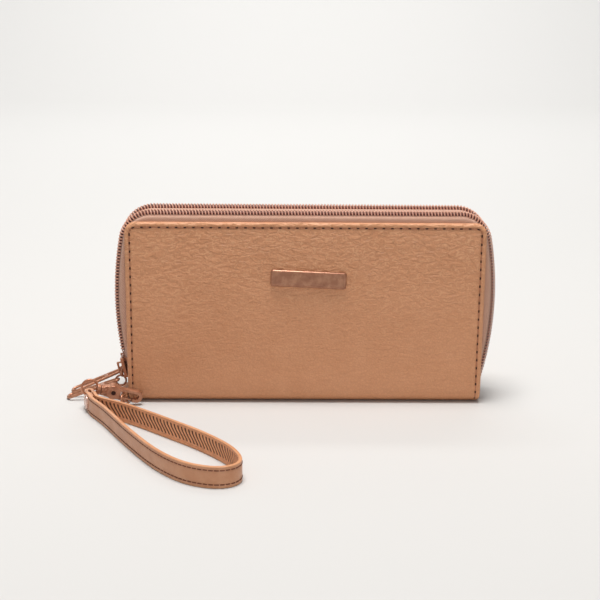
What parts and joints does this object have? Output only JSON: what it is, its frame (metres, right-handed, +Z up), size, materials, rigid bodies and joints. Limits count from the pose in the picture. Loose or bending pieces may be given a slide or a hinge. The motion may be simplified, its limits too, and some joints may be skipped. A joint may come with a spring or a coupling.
{
  "type": "zip around wallet",
  "caption": "Tan leather zip-around wallet with two zipped compartments, a coin pocket, open-loop zip pulls and a wrist strap on a swivel clasp.",
  "frame": {"origin": "middle of the spine's flat underside, which stands on the table", "axes": "+X along the wallet's width to the right seen from the front, -Y out of the front cover, +Z up"},
  "size_m": [0.2304, 0.1487, 0.1043],
  "materials": {
    "leather": "soft pebbled satin",
    "strap_leather": "smooth satin",
    "cloth": "woven",
    "coil": "satin nylon",
    "metal": "rose-tan lacquer, satin",
    "board": "matt stiffener",
    "thread": "twisted thread"
  },
  "bodies": {
    "core": {"spine_leather": "leather", "spine_board": "board", "front_inner_tape": "cloth", "front_inner_teeth": "coil", "rear_inner_tape": "cloth", "rear_inner_teeth": "coil", "zip_stops": "metal", "divider_board": "board", "divider_linings": "cloth", "divider_cards": "cloth", "coin_pocket": "cloth", "coin_tape": "cloth", "coin_teeth": "coil", "ring_tab": "leather"},
    "front_cover": {"front_leather": "leather", "front_board": "board", "front_lining": "cloth", "front_cards": "cloth", "badge_plate": "metal", "badge_studs": "metal", "front_outer_tape": "cloth", "front_outer_teeth": "coil"},
    "back_cover": {"back_leather": "leather", "back_board": "board", "back_lining": "cloth", "rear_outer_tape": "cloth", "rear_outer_teeth": "coil"},
    "coin_slider": {"coin_slider": "metal"},
    "coin_pull": {"coin_pull": "metal"},
    "front_slider": {"front_slider": "metal"},
    "rear_slider": {"rear_slider": "metal"},
    "front_link": {"front_link": "metal"},
    "rear_link": {"rear_link": "metal"},
    "front_pull": {"front_pull": "metal"},
    "rear_pull": {"rear_pull": "metal"},
    "d_ring": {"d_ring": "metal"},
    "clasp": {"clasp_body": "metal", "clasp_pin": "metal", "clasp_spring": "metal"},
    "clasp_lever": {"clasp_lever": "metal"},
    "swivel_eye": {"swivel_eye": "metal"},
    "strap": {"strap_leather": "strap_leather", "strap_lining": "cloth", "strap_tail": "strap_leather", "strap_rivet": "metal"}
  },
  "joints": [
    {"name": "front_cover_open", "type": "hinge", "parent": "core", "child": "front_cover", "pos_m": [0, -0.015, 0.0082], "axis": [1, 0, 0], "range_deg": [0, 60]},
    {"name": "back_cover_open", "type": "hinge", "parent": "core", "child": "back_cover", "pos_m": [0, 0.015, 0.0082], "axis": [-1, 0, 0], "range_deg": [0, 60]},
    {"name": "front_zip_travel", "type": "hinge", "parent": "core", "child": "front_slider", "pos_m": [0.075, -0.0085, 0.058], "axis": [0, 1, 0], "range_deg": [0, 20]},
    {"name": "rear_zip_travel", "type": "hinge", "parent": "core", "child": "rear_slider", "pos_m": [0.075, 0.0085, 0.058], "axis": [0, 1, 0], "range_deg": [0, 20]},
    {"name": "front_link_swing", "type": "hinge", "parent": "front_slider", "child": "front_link", "pos_m": [-0.0987, -0.0085, 0.017], "axis": [0, 1, 0], "range_deg": [0, 30]},
    {"name": "rear_link_swing", "type": "hinge", "parent": "rear_slider", "child": "rear_link", "pos_m": [-0.0987, 0.0085, 0.017], "axis": [0, 1, 0], "range_deg": [0, 30]},
    {"name": "front_pull_swing", "type": "hinge", "parent": "front_link", "child": "front_pull", "pos_m": [-0.1022, -0.0085, 0.0106], "axis": [0, 1, 0], "range_deg": [0, 40]},
    {"name": "rear_pull_swing", "type": "hinge", "parent": "rear_link", "child": "rear_pull", "pos_m": [-0.1022, 0.0085, 0.0106], "axis": [-0.2588, 0.9659, 0], "range_deg": [0, 40]},
    {"name": "ring_swing", "type": "hinge", "parent": "core", "child": "d_ring", "pos_m": [-0.0973, -0.0105, 0.004], "axis": [0, 0, -1], "range_deg": [0, 12]},
    {"name": "clasp_tilt", "type": "hinge", "parent": "d_ring", "child": "clasp", "pos_m": [-0.0973, -0.0206, 0.007], "axis": [0, 1, 0], "range_deg": [0, 10]},
    {"name": "lever_press", "type": "hinge", "parent": "clasp", "child": "clasp_lever", "pos_m": [-0.10203, -0.02183, 0.00893], "axis": [0.1726, -0.9644, -0.2004], "range_deg": [0, 8], "stiffness_Nm_per_rad": 0.002},
    {"name": "eye_swivel", "type": "hinge", "parent": "clasp", "child": "swivel_eye", "pos_m": [-0.1083, -0.0232, 0.0101], "axis": [0.9374, 0.2233, -0.2672], "range_deg": [-60, 0]},
    {"name": "strap_fold", "type": "hinge", "parent": "swivel_eye", "child": "strap", "pos_m": [-0.11389, -0.02466, 0.0078], "axis": [-0.9511, -0.309, 0], "range_deg": [0, 20]},
    {"name": "coin_zip_travel", "type": "slide", "parent": "core", "child": "coin_slider", "axis": [1, 0, 0], "range_m": [0, 0.132]},
    {"name": "coin_pull_swing", "type": "hinge", "parent": "coin_slider", "child": "coin_pull", "pos_m": [-0.066, 0.00845, 0.072], "axis": [0, 0, 1], "range_deg": [0, 12]}
  ]
}
